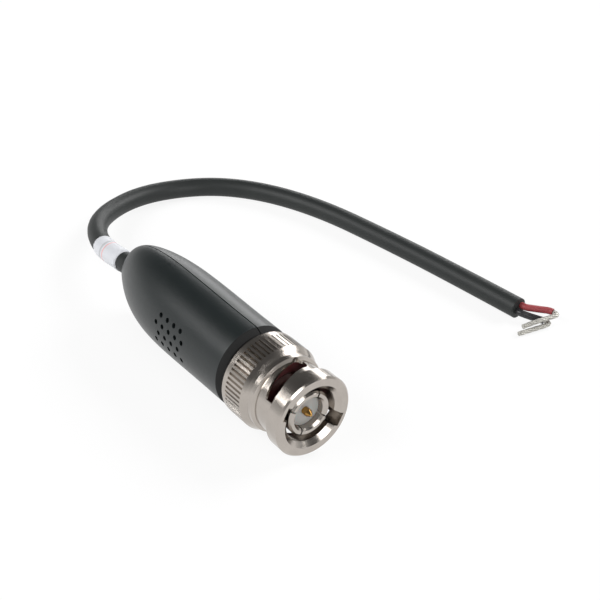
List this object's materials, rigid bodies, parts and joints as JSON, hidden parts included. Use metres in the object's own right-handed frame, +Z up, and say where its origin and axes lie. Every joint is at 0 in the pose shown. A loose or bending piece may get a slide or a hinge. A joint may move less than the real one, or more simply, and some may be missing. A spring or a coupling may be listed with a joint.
{
  "type": "cctv video balun",
  "caption": "Passive video balun: teardrop clamshell housing with a bayonet coaxial plug in front and a short round lead that curls back to two bare wire ends.",
  "frame": {"origin": "centre of the coupling nut's front face, on the plug's axis", "axes": "+X along the plug's axis, out of the mating face; +Z up as the part lies, so that the plane where the housing halves meet leans 8 degrees from +Z towards +Y"},
  "size_m": [0.0879, 0.0669, 0.016],
  "materials": {
    "housing_plastic": "fine matt texture",
    "nickel": "bright nickel plate",
    "gold": "gold plate",
    "insulator": "translucent white",
    "silicone": "dark red silicone",
    "spring_steel": "bright spring steel",
    "board": "green solder mask",
    "ferrite": "dull grey ferrite",
    "enamelled_copper": "enamelled copper wire",
    "component_ceramic": "glazed ceramic",
    "cable_jacket": "soft satin jacket",
    "label_film": "white film with a grey and a red stripe",
    "nylon": "natural nylon",
    "red_insulation": "red insulation",
    "black_insulation": "black insulation",
    "tinned_copper": "tinned strands"
  },
  "bodies": {
    "balun": {"plug_body": "nickel", "insulator": "insulator", "centre_pin": "gold", "gasket": "silicone", "spring_washer": "spring_steel", "housing_left": "housing_plastic", "housing_right": "housing_plastic", "circuit_board": "board", "capacitor": "component_ceramic", "surge_tube": "component_ceramic", "transformer_core": "ferrite", "primary_winding": "enamelled_copper", "secondary_winding": "enamelled_copper", "cable": "cable_jacket", "label_sleeve": "label_film", "cable_tie": "nylon", "red_lead": "red_insulation", "black_lead": "black_insulation", "red_wire": "red_insulation", "red_wire_strands": "tinned_copper", "black_wire": "black_insulation", "black_wire_strands": "tinned_copper"},
    "nut_slider": {"thrust_washer": "spring_steel"},
    "nut": {"coupling_nut": "nickel", "retaining_ring": "spring_steel"}
  },
  "joints": [
    {"name": "nut_slide", "type": "slide", "parent": "balun", "child": "nut_slider", "axis": [1, 0, 0], "range_m": [0, 0.0007], "stiffness_N_per_m": 4000, "springref_m": -0.001, "deforming": ["spring_washer"]},
    {"name": "nut_turn", "type": "hinge", "parent": "nut_slider", "child": "nut", "pos_m": [0, 0, 0], "axis": [1, 0, 0], "continuous": true}
  ]
}
